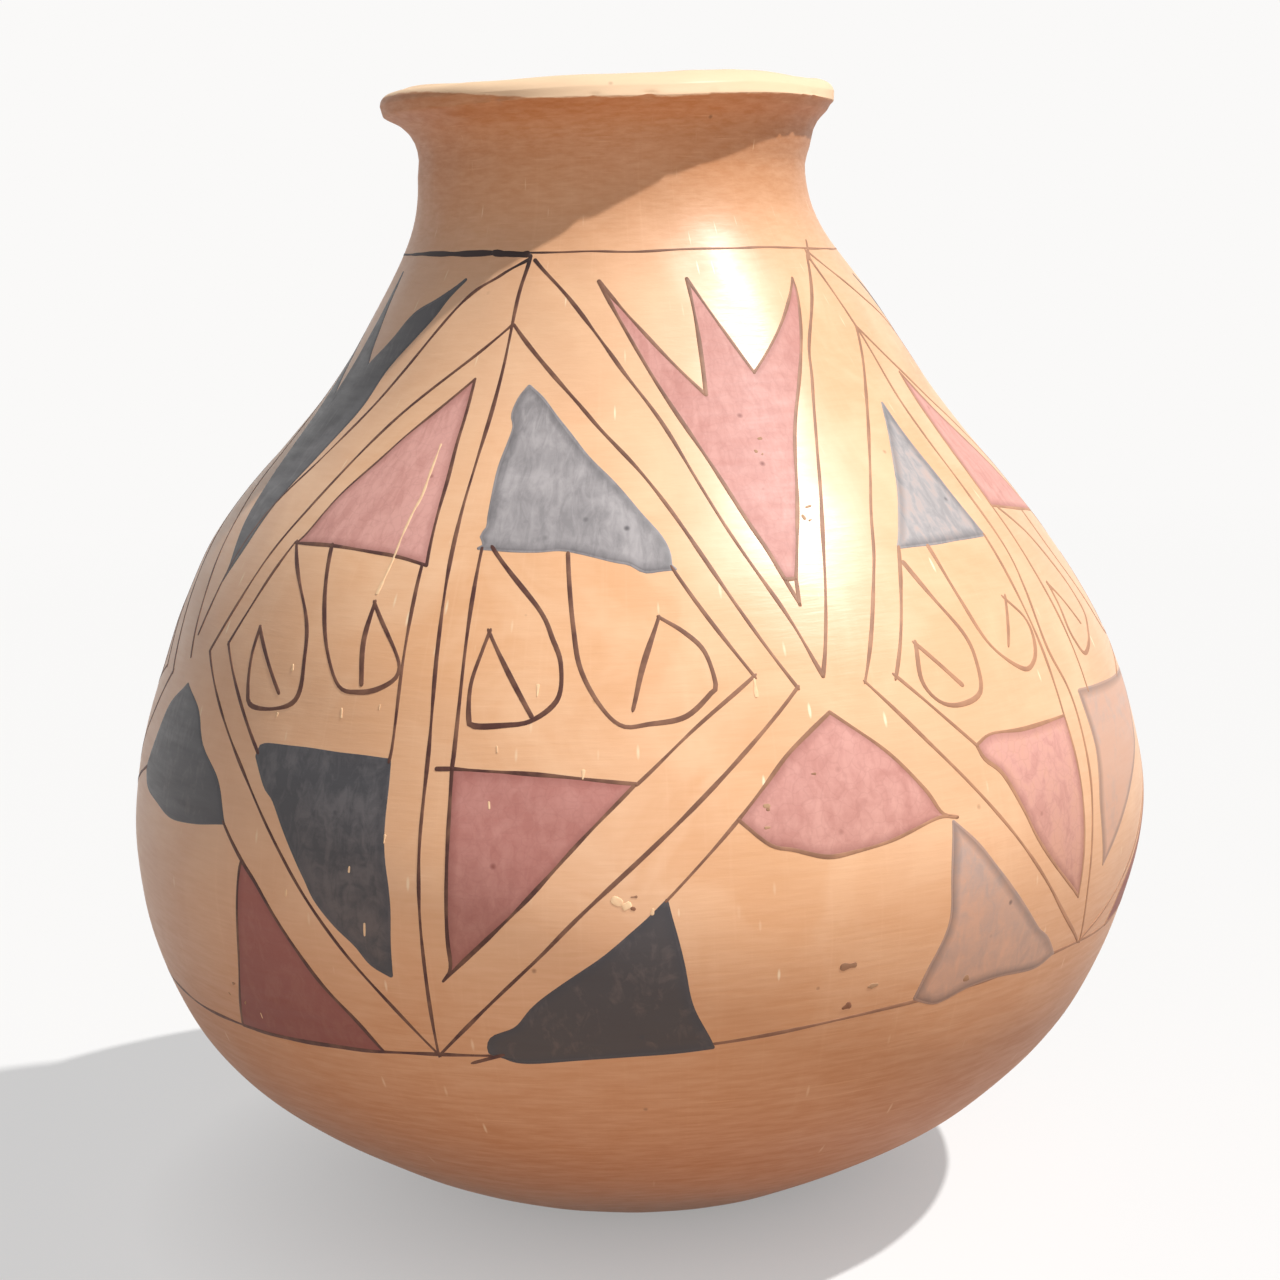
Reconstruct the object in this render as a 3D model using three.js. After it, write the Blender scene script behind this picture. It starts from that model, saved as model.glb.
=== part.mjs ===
// A wide-bellied pottery vase with a flared rim, built up by hand from coils, smoothed, burnished
// and fired in one piece. Millimetres, +Z up, standing on the middle of its base at the origin.
import * as THREE from 'three';

// The outside, as a gauge would read it: at each station the wall's outer radius and the rise
// from the station below, so a change of one band only makes the pot taller or shorter there
const footRadius = 27;
const undersideRadius = 48.6;
const undersideRise = 8.1;
const haunchRadius = 81.2;
const haunchRise = 18.1;
const lowerBellyRadius = 104.1;
const lowerBellyRise = 25.2;
const bellyRadius = 114.2;
const bellyRise = 37.4;
const shoulderRadius = 106.9;
const shoulderRise = 36.2;
const upperShoulderRadius = 91.3;
const upperShoulderRise = 29.7;
const neckRootRadius = 68.5;
const neckRootRise = 27.9;
const neckRadius = 54;
const neckRise = 22.2;
const collarRadius = 45.7;
const collarRise = 14;
const throatRadius = 43.1;
const throatRise = 10.3;
const flareRadius = 43.6;
const flareRise = 8.9;
const underLipRadius = 45.6;
const underLipRise = 3.9;
const arrisRadius = 49.6;
const arrisRise = 3.3;

// The rim: a trimmed band stands on the outer arris, leans out a little and rounds over into the mouth
const bandHeight = 2.2;
const bandSwell = 0.6;
const lipThickness = 6.4;
const crestRise = 2.6;

// The thickness of the clay, and of the floor, which is left heavier to carry the pot
const wallThickness = 5;
const floorThickness = 6.5;

// How finely the curves are cut into flats
const flatsAround = 64;
const outerFlatsPerStation = 3;
const innerFlatsPerStation = 2;
const flatsOnLip = 4;

function stationsToPoints(stations) {
  let height = 0;
  return stations.map(([radius, rise]) => {
    height += rise;
    return new THREE.Vector2(radius, height);
  });
}

const outerCurve = new THREE.SplineCurve(stationsToPoints([
  [footRadius, 0],
  [undersideRadius, undersideRise],
  [haunchRadius, haunchRise],
  [lowerBellyRadius, lowerBellyRise],
  [bellyRadius, bellyRise],
  [shoulderRadius, shoulderRise],
  [upperShoulderRadius, upperShoulderRise],
  [neckRootRadius, neckRootRise],
  [neckRadius, neckRise],
  [collarRadius, collarRise],
  [throatRadius, throatRise],
  [flareRadius, flareRise],
  [underLipRadius, underLipRise],
  [arrisRadius, arrisRise],
]));

// The hollow follows the outside one wall thickness in, measured square to the surface. It stops
// at the floor below, and level with the arris above, where the lip takes over
function hollowPoints(curve, samples) {
  const arrisPoint = curve.getPoint(1);
  const points = [];
  for (let i = 0; i <= samples; i += 1) {
    const outer = curve.getPoint(i / samples);
    const along = curve.getTangent(i / samples);
    const inner = new THREE.Vector2(outer.x - wallThickness * along.y, outer.y + wallThickness * along.x);
    const aboveFloor = inner.y > floorThickness;
    const belowLip = inner.y < arrisPoint.y;
    if (aboveFloor && belowLip) points.push(inner);
  }
  return points;
}

function vaseProfile() {
  const bands = outerCurve.points.length - 1;
  const arris = outerCurve.getPoint(1);
  const hollow = hollowPoints(outerCurve, innerFlatsPerStation * bands).reverse();

  const lipOuter = arris.x + bandSwell;
  const lipTop = arris.y + bandHeight;
  const lipMiddle = lipOuter - lipThickness / 2;
  const crest = new THREE.EllipseCurve(lipMiddle, lipTop, lipThickness / 2, crestRise, 0, Math.PI);
  const mouthEdge = crest.getPoint(1);

  // Below the lip the mouth turns down, plumb at first, into the hollow's own curve
  const mouth = new THREE.QuadraticBezierCurve(mouthEdge, new THREE.Vector2(mouthEdge.x, arris.y), hollow[0]);

  return [
    new THREE.Vector2(0, 0),
    ...outerCurve.getPoints(outerFlatsPerStation * bands),
    ...crest.getPoints(2 * flatsOnLip),
    ...mouth.getPoints(flatsOnLip).slice(1),
    ...hollow.slice(1),
    new THREE.Vector2(hollow.at(-1).x, floorThickness),
    new THREE.Vector2(0, floorThickness),
  ];
}

function makeVaseBody() {
  const geometry = new THREE.LatheGeometry(vaseProfile(), flatsAround);
  geometry.rotateX(Math.PI / 2);
  const burnishedClay = new THREE.MeshStandardMaterial({ color: 0xc98e5c, roughness: 0.45, metalness: 0 });
  const body = new THREE.Mesh(geometry, burnishedClay);
  body.name = 'vase_body';
  return body;
}

const vase = new THREE.Group();
vase.name = 'pottery_vase';
vase.add(makeVaseBody());

export default vase;
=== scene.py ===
"""Pottery vase: a hand-built, burnished earthenware body painted with red and black slip."""
import math

import bmesh
import bpy
import numpy as np
from mathutils import Matrix, Vector


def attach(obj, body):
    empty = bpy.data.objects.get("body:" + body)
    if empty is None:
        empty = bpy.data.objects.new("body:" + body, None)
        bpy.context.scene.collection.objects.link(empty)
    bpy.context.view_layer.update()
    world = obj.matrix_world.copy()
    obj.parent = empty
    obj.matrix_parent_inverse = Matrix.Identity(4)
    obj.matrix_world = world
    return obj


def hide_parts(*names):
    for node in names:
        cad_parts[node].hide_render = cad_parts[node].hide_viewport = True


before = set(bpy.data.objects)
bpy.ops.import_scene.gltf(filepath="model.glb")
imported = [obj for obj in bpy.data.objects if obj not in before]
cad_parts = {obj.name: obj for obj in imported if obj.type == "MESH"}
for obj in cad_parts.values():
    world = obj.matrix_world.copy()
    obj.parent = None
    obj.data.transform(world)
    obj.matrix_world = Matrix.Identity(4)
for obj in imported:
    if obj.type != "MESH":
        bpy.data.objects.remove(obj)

bl_info = {
    "name": "Painted pottery vase",
    "version": (1, 0, 0),
    "blender": (4, 5, 0),
    "location": "View3D > Sidebar > Vase",
    "description": "Builds a burnished pottery vase with painted slip, and a plain stage for it",
    "category": "Add Mesh",
}

MM = 0.001


# The drawing

# Eight bays stand side by side round the pot, between the line on the belly and the line at the
# root of the neck. Each bay's middle is an angle in degrees, from the front towards the right
BAY_MIDDLES = (-63.5, -21.5, 20.2, 56, 108, 155, 202, 249.3)

# The lower line as (angle, height in mm). The painter let it climb towards the right
LOWER_LINE = [(-65, 60.6), (-35, 61.3), (-21, 63), (7, 65.9), (29, 68.9), (50, 70.4), (65, 69.6),
              (110, 68.5), (155, 67.5), (205, 65), (250, 61.5)]
NECK_LINE_HEIGHT = 214.2

# A bay's points are percent of the way from its middle to the next bay's middle, left is minus,
# and percent of the way up from the lower line to the neck line. A point given twice in a row is a
# corner, and a line flows through all others.
# Hooks have a width of their own, and thick lines are nearly twice as wide as plain ones.
# A field is its slip, how thin the coat lies (0 heavy, 1 thin, and over 1 the clay shows), then its
# left and right sides, which run upwards, and its top and bottom, which hold only what lies between
LOZENGE_BAY = {
    "lines": [
        [(-0.5, 99.5), (-5, 90.5), (-1, 64), (0, 41.5), (-0.5, 27), (0.5, 12), (1.5, 0)],
        [(-2, 99), (-17.5, 97), (-42.5, 92.5), (-73, 78.5), (-96, 64), (-100, 50)],
        [(2.5, 99), (24.5, 93.5), (48, 85), (70, 75), (92, 56), (100, 45)],
        [(-5, 90.5), (-50, 78.5), (-69, 66), (-87.5, 48.5), (-87.5, 48.5), (-47.5, 30), (-19.5, 13),
         (1.5, 0)],
        [(-4, 90.5), (37.5, 78.5), (67, 66.5), (92.5, 44), (92.5, 44), (44, 22), (26, 12.5), (2, 0)],
        [(-64, 63), (-78, 50), (-78, 50), (-53, 37.5)],
        [(65.5, 59.5), (82, 46), (82, 46), (65.5, 40.5), (51, 34.5)],
        [(-9.5, 61), (-10, 41.5), (-10.5, 38)],
        [(8.5, 63), (7, 41.5), (6.5, 37)],
        [(2.5, 37), (6.5, 37)],
    ],
    "hooks": [
        [(-63, 63), (-46, 54.5), (-42, 48.5), (-42.5, 44.5), (-49.5, 43), (-59.5, 43), (-62.5, 45),
         (-64.5, 49), (-64.5, 52.5), (-64.5, 52.5), (-49.5, 45)],
        [(-45.5, 63), (-39.5, 55.5), (-34.5, 50.5), (-28.5, 46.5), (-22, 46), (-16, 46.5), (-11, 48),
         (-12, 50.5), (-22, 56.5), (-22, 56.5), (-23, 52), (-21.5, 47)],
        [(12, 63), (27, 56), (31.5, 52), (33.5, 49), (32.5, 45), (26, 42.5), (19, 42), (11.5, 42),
         (10, 43), (10, 47), (12.5, 51), (14, 53), (14, 53), (26, 43)],
        [(35.5, 62), (37, 53.5), (38.5, 48.5), (43, 44), (48, 41.5), (54.5, 41.5), (63.5, 42),
         (70.5, 44.5), (72, 45.5), (70.5, 49.5), (66, 52), (60, 54), (60, 54), (54.5, 48.5), (51, 43.5)],
    ],
    "thick": [[(-24, 100), (-12, 99.7), (-3, 99.8)]],
    "fields": [
        ("red", 0.85,
         [(-63, 63), (-60, 64.5), (-54, 69.5), (-44.5, 74), (-37.5, 77), (-27, 80.5), (-17, 83.5)],
         [(-8, 61), (-9.5, 66.5), (-11, 71), (-13.5, 75.5), (-15, 79), (-17, 83.5)],
         [], [(-45, 63), (-26.5, 62.5), (-17.5, 62)]),
        # This black field's pale, thin coat is partly painted sheen, on the upper right of the front where
        # the main lamp's highlight spreads
        ("black", 0.75,
         [(7.5, 63), (9, 63.5), (7.5, 64.5), (9, 65.5), (8.5, 67), (7.5, 72), (8, 75.5), (8, 77.5),
          (6, 79), (7, 81), (10, 82.5)],
         [(66, 59.5), (65, 60), (65, 61.5), (63, 63.5), (58, 66), (51.5, 69), (40.5, 73), (29, 77),
          (18.5, 80.5), (10, 82.5)],
         [], [(25, 62.5), (35, 62.5), (48.5, 61), (53.5, 60.5), (57.5, 59.5), (62, 59.5)]),
        ("black", 0.05,
         [(-8.5, 11), (-13.5, 12.5), (-17.5, 15), (-23, 17.5), (-28.5, 20.5), (-32, 23.5), (-39.5, 29),
          (-44, 32), (-48, 33.5), (-53, 37)],
         [(-8.5, 11), (-8, 19.5), (-10, 28.5), (-10.5, 38)], [(-49.5, 38.5), (-23.5, 38.5)], []),
        ("red", 0.3, [(5, 10.5), (7, 12.5), (6.5, 18), (6.5, 37)],
         [(5, 10.5), (22.5, 19.5), (37.5, 28), (50.5, 34.5)], [(30, 36)], []),
    ],
}

SECOND_LOZENGE_BAY = {
    "lines": [
        [(-6.5, 98.5), (0, 88.5), (1.5, 76), (2, 56.5), (-5, 43.5), (-1.5, 34), (-5.5, 12), (-3, 0)],
        [(-6.5, 98.5), (-11, 98), (-46.5, 87.5), (-58, 81), (-78, 66.5), (-100, 45)],
        [(-6.5, 98.5), (0, 99), (46, 88), (58, 81), (78, 66), (100, 47)],
        [(0, 88.5), (-51, 68), (-68.5, 57), (-87, 43.5), (-87, 43.5), (-58.5, 28), (-38.5, 17),
         (-19.5, 6.5), (-4.5, 0)],
        [(0, 88.5), (51, 68), (69, 57), (87, 44), (87, 44), (58.5, 28), (38.5, 17), (19.5, 6.5), (-3, 0)],
        [(-54.5, 59), (-76, 43.5), (-76, 43.5), (-65.5, 38.5), (-54, 33)],
        [(54.5, 59), (76, 44), (76, 44), (34.5, 35)],
        [(-6, 58.5), (-10, 33.5)],
        [(11, 62), (8, 36)],
        [(-6.5, 98.5), (3.5, 101)],
    ],
    "hooks": [
        [(-55.5, 57), (-50, 52), (-44, 47), (-43.5, 43.5), (-46.5, 39.5), (-56, 38.5), (-63.5, 39.5),
         (-67.5, 42.5), (-65, 47), (-65, 47), (-53, 41)],
        [(-40.5, 58.5), (-38.5, 51.5), (-34.5, 45), (-23.5, 41), (-16, 41.5), (-11, 44), (-10, 47),
         (-15.5, 50), (-15.5, 50), (-25.5, 44.5)],
        [(14.5, 61.5), (20, 59), (23.5, 57), (26.5, 53.5), (28.5, 50), (29, 47.5), (28.5, 45), (24, 43),
         (20, 41.5), (14, 40.5), (11.5, 42.5), (11, 44.5), (12.5, 47.5), (13.5, 50.5), (13.5, 50.5),
         (16.5, 48.5), (20.5, 44.5)],
        [(35, 60), (35.5, 53.5), (37.5, 47.5), (41, 43), (46, 40.5), (52, 40), (59.5, 40.5), (66, 43),
         (67, 44.5), (65.5, 48), (61, 50.5), (56.5, 52), (56.5, 52), (52, 47), (49, 42)],
    ],
    "fields": [
        # This black field's pale, thin coat is partly painted sheen, beside the main lamp's highlight
        ("black", 1, [(-54.5, 59), (-15.5, 77.5)], [(-6, 58.5), (-15.5, 77.5)], [], []),
        ("red", 0.75, [(11, 62), (15, 81.5)], [(54.5, 59), (15, 81.5)], [], []),
        ("red", 1, [(-11, 7.5), (-24, 13), (-34, 18.5), (-39.5, 23), (-46, 28.5), (-52, 31), (-54, 33)],
         [(-11, 7.5), (-10.5, 12.5), (-9.5, 21.5), (-10, 33.5)], [(-47, 34), (-32.5, 33.5)], []),
        ("black", 1.35, [(2.5, 11), (1, 20), (3.5, 28.5), (3, 36)],
         [(2.5, 11), (13.5, 17), (27, 23), (35.5, 26.5), (50, 34.5)], [(8, 36)], []),
    ],
}

GORE_BAY = {
    "lines": [
        [(-26, 29), (-43, 20)],
        [(-0.5, 54), (-2.5, 57)],
        [(-0.5, 54), (1, 57)],
        [(-82.5, 0), (-89, -1)],
    ],
    "fields": [
        ("red", 0.45, [(-2.5, 57), (-7.5, 63), (-23, 75.5), (-60.5, 96)],
         [(1, 57), (9, 64), (20.5, 74), (34.5, 81.5), (57.5, 92.5), (62, 95.5)],
         [(-15, 80.5), (-15, 80.5), (-12.5, 96), (-12.5, 96), (10, 83), (10, 83)], []),
        ("red", 0.7, [(-26, 29), (-19.5, 32.5), (-13, 36), (-6.5, 38.5), (-0.5, 40.5)],
         [(34.5, 24.5), (29.5, 25.5), (25, 29), (15, 34.5), (-0.5, 40.5)],
         [], [(-19, 25.5), (-13.5, 24.5), (-5.5, 23), (1.5, 23), (13, 23.5), (28, 25)]),
        ("black", 0,
         [(-82.5, 0), (-85, 0.5), (-84, 2.5), (-78, 4), (-74, 6.5), (-68.5, 9), (-58, 13), (-49, 17),
          (-43, 20)],
         [(-31.5, -0.5), (-37, 6), (-39.5, 12), (-41.5, 16.5), (-43, 20)], [], [(-75, -1), (-50, -0.5)]),
        ("black", 1.2, [(23.5, 0.5), (26.5, 4.5), (31.5, 10.5), (31.5, 16.5), (33, 24)],
         [(80.5, 0), (75, 3), (69.5, 5), (63.5, 8), (53, 13.5), (41.5, 20), (33, 24)],
         [], [(30, -1), (34.5, -1), (43.5, 0), (55.5, 0), (72, -1)]),
    ],
}

SECOND_GORE_BAY = {
    "lines": [
        [(38, 28), (47.5, 23.5)],
        [(-17, 30.5), (-47.5, 23.5)],
    ],
    "fields": [
        ("black", 0,
         [(1, 57), (0, 59.5), (-8, 64.5), (-13.5, 69), (-20.5, 73.5), (-24, 75.5), (-40, 86), (-58, 96)],
         [(1, 57), (5, 61.5), (7, 66), (11.5, 72.5), (20.5, 79.5), (25, 85), (42.5, 91), (49, 94),
          (58, 96.5)],
         [(-18, 80.5), (-18, 80.5), (-17, 88), (-14, 97.5), (-14, 97.5), (-9.5, 92.5), (-3.5, 87.5),
          (2.5, 85), (2.5, 85), (16, 88.5), (28, 92), (43.5, 94)], []),
        ("black", 0, [(-17, 30.5), (-12, 35.5), (-6.5, 40), (4, 43.5)],
         [(38, 28), (32, 33), (21.5, 37), (15, 41), (4, 43.5)],
         [], [(-12.5, 28.5), (-3.5, 27.5), (9.5, 26.5), (24.5, 27)]),
        ("red", 0, [(36, 0), (42.5, 10), (46, 22.5), (47.5, 23.5)],
         [(86.5, 0), (79.5, 4.5), (69.5, 10), (54.5, 20), (47.5, 23.5)], [], []),
        ("red", 0, [(-86.5, 0), (-79.5, 4.5), (-69.5, 10), (-54.5, 20), (-47.5, 23.5)],
         [(-36, 0), (-42.5, 10), (-46, 22.5), (-47.5, 23.5)], [], []),
    ],
}

BAYS = (SECOND_GORE_BAY, LOZENGE_BAY, GORE_BAY, SECOND_LOZENGE_BAY) * 2

# The scrape as (angle, height), and the knocks as (angle, height, across, up, darkness from 0 to 1), in
# degrees and mm. The darkness is dirt, but in the two dark marks beside the pale chip at the front it is
# painted shadow
SCRAPE = [(-30, 176.9), (-29.6, 172.2), (-29.2, 167.7), (-29.5, 164.8), (-29.8, 160), (-29.9, 156.7),
          (-30.3, 153.1), (-30.8, 149.8)]
KNOCKS = [(-40.8, 135.2, 0.6, 1.4, 0), (-32.6, 127.9, 0.5, 2, 0), (-27.8, 129.5, 0.4, 1, 0.1),
          (-25.5, 105.7, 0.5, 1.6, 0), (-37.2, 93.1, 0.5, 1.3, 0), (-43.8, 64.9, 0.5, 1.2, 0),
          (-27.6, 88.1, 0.5, 2.6, 0), (-29.3, 99.4, 0.4, 1.2, 0), (-41.8, 126.2, 0.5, 1, 0),
          (0.9, 93.2, 0.5, 1.2, 0.1), (-10.1, 133.4, 0.5, 2.4, 0), (-5.5, 118.4, 0.5, 1.8, 0),
          (-14.2, 122.8, 0.4, 1.3, 0.2), (12.6, 132.4, 0.7, 3.6, 0), (-14.8, 112.8, 0.4, 1.4, 0),
          # The pale chip at the front, and beside it two dark marks that are painted shadow of its edge
          (-2.4, 95.3, 2, 1.6, 0), (-1.5, 94.4, 1.6, 1.3, 0), (-0.9, 93.9, 0.9, 0.5, 0.9),
          (-0.8, 96.1, 1.2, 0.5, 0.8),
          (20.2, 79.2, 3.2, 1.7, 0.8), (23.2, 74.2, 2, 1.5, 0.6),
          (20.6, 70.6, 1.7, 1.2, 0.9), (35, 71.3, 1.3, 1, 0.7), (17.3, 116.3, 0.9, 0.4, 0.8),
          (12.2, 111.3, 1.3, 0.6, 0.6), (12.3, 110.7, 0.6, 0.5, 0.8), (12.1, 107.4, 1.1, 0.6, 0.6),
          (21.5, 176.5, 0.9, 0.5, 0.7), (20.3, 174.2, 0.6, 0.7, 0.7), (21.2, 173.6, 0.4, 0.4, 0.7),
          (25.6, 163.6, 1.3, 0.6, 0.6), (24.4, 161.8, 0.6, 1.1, 0.6), (25.2, 161.2, 0.7, 0.4, 0.6),
          (-47.5, 70.5, 0.9, 0.6, 0.7), (-46.2, 66.8, 0.7, 0.8, 0.7), (-49, 67.6, 0.6, 0.5, 0.6)]


# Curves and unevenness

CURVE_STEPS = 16


def flowing(points):
    """Points joined by a curve with no kink: between two points the curve is the cubic whose slope
    at each is half the step from the one before to the one after (Catmull-Rom)."""
    p = np.asarray(points, float)
    if len(p) < 3:
        return p
    p = np.vstack([2 * p[0] - p[1], p, 2 * p[-1] - p[-2]])
    t = (np.arange(CURVE_STEPS) / CURVE_STEPS)[:, None]
    a, b, c, d = p[:-3, None], p[1:-2, None], p[2:-1, None], p[3:, None]
    curve = 0.5 * (2 * b + (c - a) * t + (2 * a - 5 * b + 4 * c - d) * t**2
                   + (3 * b - a - 3 * c + d) * t**3)
    return np.vstack([curve.reshape(-1, p.shape[1]), p[-2]])


def strokes_of(points):
    """Splits a row of points where one is given twice, and makes each run flow."""
    p = np.asarray(points, float)
    corner = np.flatnonzero(np.all(p[1:] == p[:-1], axis=1)) + 1
    return [flowing(run) for run in np.split(p, corner) if len(run) > 1]


def distance_gone(steps):
    """The distance gone before the first of some steps and after each."""
    return np.r_[0, np.cumsum(np.hypot(*steps.T))]


def evenly(path, distance, count):
    """Count points along a path, at equal steps of the given distance along it."""
    at = np.linspace(0, distance[-1], count)
    return np.stack([np.interp(at, distance, column) for column in path.T], axis=-1)


def unevenness(angle, height, seed, around, up, waves=14):
    """A smooth seeded wander of size about 1: a sum of cosine waves that close on themselves round the
    pot, with up to `around` waves in a turn and none shorter than `up` mm in height."""
    rng = np.random.default_rng(seed)
    turn, total = np.radians(angle), 0.0
    for _ in range(waves):
        k = rng.integers(1, around + 1)
        m = rng.uniform(-1, 1) * 2 * np.pi / up
        total = total + np.cos(k * turn + m * height + rng.uniform(0, 2 * np.pi))
    return total / np.sqrt(waves / 2)


def ramp(x, low, high):
    """0 below low, 1 above high, and a smooth S between."""
    t = np.clip((x - low) / (high - low), 0, 1)
    return t * t * (3 - 2 * t)


# The wall

# Above these heights in mm a corner is worn no more than the rim's, and the mesh is as fine as there
FLARE_HEIGHT, RIM_HEIGHT = 230, 241

# From row to row of the wall's mesh, in mm: finest on the rim, coarse in the hollow and on the base.
# A run is first cut into FINE_STEPS, and heights less than LEVEL apart count as the same
RIM_GAP, OUTER_GAP, INNER_GAP, BASE_GAP = 0.5, 1.9, 4.2, 4.0
FINE_STEPS = 2000
LEVEL = 0.01

# How far the axis wanders sideways on the way up, as (height, offset) in mm: no coil sits dead centre
AXIS_WANDER = flowing([(-5, 0.8), (15, -1), (50, -1.3), (90, 0.3), (125, 0.5), (160, -1.2), (195, 0.7),
                       (225, -1), (252, -1.4)])

# The unevenness in metres for which the lumps in `formed` have the heights in mm that stand there,
# and the mm from one coil of clay to the next
PLAIN_UNEVENNESS = 0.0002
COIL_HEIGHT = 12


def wall_section(node):
    """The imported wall's cut through the half plane x = 0, y < 0, as (radius, height) in mm, from the
    middle of the base, up the outside, over the rim and down the inside to the middle of the floor.
    Loose triangles are merged first, and the edges that lie in that plane are walked in order."""
    mesh = bmesh.new()
    mesh.from_mesh(node.data)
    bmesh.ops.remove_doubles(mesh, verts=mesh.verts, dist=1e-6)
    inside = {v for v in mesh.verts if abs(v.co.x) < 2e-5 and v.co.y < 2e-5}
    here = min(inside, key=lambda v: (round(v.co.z, 4), abs(v.co.y)))
    path = []
    while here:
        path.append(here)
        inside.remove(here)
        here = next((v for e in here.link_edges if (v := e.other_vert(here)) in inside), None)
    section = np.array([(-v.co.y / MM, v.co.z / MM) for v in path])
    mesh.free()
    if len(section) < 40 or section[-1, 0] > 1:
        raise RuntimeError(f"the wall's section has {len(section)} points and ends at {section[-1]}")
    return section


def section_runs(section):
    """Cuts the section into its flowing runs, at each turn of more than 28 degrees and where a level
    face starts or ends."""
    step = np.diff(section, axis=0)
    heading = np.unwrap(np.arctan2(step[:, 1], step[:, 0]))
    level = np.abs(step[:, 1]) < 1e-3
    turn = (np.abs(np.diff(heading)) > math.radians(28)) | (level[1:] != level[:-1])
    edges = [0, *(np.flatnonzero(turn) + 1), len(section) - 1]
    return [flowing(section[a:b + 1]) for a, b in zip(edges, edges[1:])]


def worn_round(corner):
    """How many mm of the run on either side of a corner are worn away: least at the rim, and most
    where the floor meets the hollow."""
    return 0.22 if corner[1] > FLARE_HEIGHT else (1.5 if corner[1] < 1 else 3.0)


def wall_rows(section):
    """Rows of (radius, height, skin) for the wall's mesh. Each run is sampled at a spacing that suits
    its place, and where two runs meet the corner is worn round by a short parabola. Skin is 1 on the
    outside, which ends at the crest of the lip, and 0 inside."""
    runs = section_runs(section)
    rows, over_crest = [], False
    for i, run in enumerate(runs):
        length = distance_gone(np.diff(run, axis=0))
        most = 0.4 * length[-1]
        start = 0 if i == 0 else min(worn_round(run[0]), most)
        end = length[-1] if i == len(runs) - 1 else length[-1] - min(worn_round(run[-1]), most)
        fine = evenly(run, length, FINE_STEPS)
        at = np.linspace(0, length[-1], FINE_STEPS)
        outside = np.full(len(fine), not over_crest)
        if fine[:, 1].max() > section[:, 1].max() - LEVEL:
            outside = np.arange(len(fine)) <= fine[:, 1].argmax()
            over_crest = True
        kept = (at >= start) & (at <= end)
        fine, outside = fine[kept], outside[kept]
        gap = np.where(fine[:, 1] > RIM_HEIGHT, RIM_GAP, np.where(outside, OUTER_GAP, INNER_GAP))
        gap = np.where(fine[:, 1] < LEVEL, BASE_GAP, gap)
        step = np.hypot(*np.diff(fine, axis=0).T)
        travelled = np.r_[0, np.cumsum(step / (0.5 * (gap[1:] + gap[:-1])))]
        count = max(3, int(round(travelled[-1])) + 1)
        picked = evenly(np.column_stack([fine, outside.astype(float)]), travelled, count)
        if i > 0:
            corner = run[0]
            a, b = rows[-1][-1, :2], picked[0, :2]
            t = np.array([0.25, 0.5, 0.75])[:, None]
            bend = (1 - t) ** 2 * a + 2 * t * (1 - t) * corner + t**2 * b
            skin = (1 - t) * rows[-1][-1, 2] + t * picked[0, 2]
            rows.append(np.column_stack([bend, skin]))
        rows.append(picked)
    return np.vstack(rows)


SECTION = wall_section(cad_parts["vase_body"])
OUTSIDE = max(section_runs(SECTION[:SECTION[:, 1].argmax()]), key=len)
OUTSIDE_SLOPE = np.gradient(OUTSIDE[:, 0], OUTSIDE[:, 1])
ARRIS_HEIGHT = OUTSIDE[-1, 1]


def formed(radius, height, out_radius, out_height, skin, angle, lift):
    """The hand-formed surface in metres. A point of the turned section is pushed out along the
    section's own normal by the lumps left by the fingers, and by lift. Inside, the coils show as
    ridges. Then come the axis wander and, at the top, the slight tilt and wave of the rim."""
    strength = bpy.context.scene.vase_body.unevenness
    outer = 0.16 * unevenness(angle, height, 3, 8, 40) + 0.05 * unevenness(angle, height, 4, 26, 19)
    coils = np.cos(2 * np.pi * height / COIL_HEIGHT + 2 * unevenness(angle, height, 6, 3, 60, 5))
    ridges = 0.5 * coils * ramp(height, 10, 30) * ramp(-height, -232, -200)
    inner = 0.3 * unevenness(angle, height, 5, 7, 30) + ridges
    lump = (skin * outer + (1 - skin) * inner) * ramp(height, 0, 14) * strength / PLAIN_UNEVENNESS
    turn = np.radians(angle)
    # Under the lip the flare is pressed in by 1 mm on the left and eased out as much on the right, and
    # at the front the band is cut at a slant, 3.2 mm further in at its top
    pressed = np.sin(turn) * ramp(height, 231, 237) * ramp(-height, -245, -243) * skin
    up_band = np.clip((height - 245.2) / 4.4, 0, 1)
    pressed = pressed - 3.2 * up_band * ramp(np.cos(turn - 0.5), 0.3, 0.95)
    r = radius + (lump + lift) * out_radius + pressed
    z = height + (lump + lift) * out_height
    wave = 0.15 * unevenness(angle, 0 * height, 8, 7, 40, 6)
    z = z + ramp(height, 200, 250) * (0.35 * np.sin(turn) + wave)
    x = r * np.sin(turn) + np.interp(height, *AXIS_WANDER.T)
    return np.stack([x, -r * np.cos(turn), z], axis=-1) * MM


def outside_at(height):
    """The outside's radius at a height, and how fast it grows there with the height."""
    return [np.interp(height, OUTSIDE[:, 1], values) for values in (OUTSIDE[:, 0], OUTSIDE_SLOPE)]


def on_wall(angle, height, lift):
    """A point on the outside of the wall, raised by lift mm along its normal."""
    radius, slope = outside_at(height)
    out = 1 / np.hypot(1, slope)
    return formed(radius, height, out, -slope * out, 1.0, angle, lift)


def wall_scale(height):
    """How many mm of the surface one degree round and one mm of height are."""
    radius, slope = outside_at(height)
    return np.stack([np.radians(1) * radius, np.hypot(1, slope)], axis=-1)


# Paint on the wall

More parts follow.
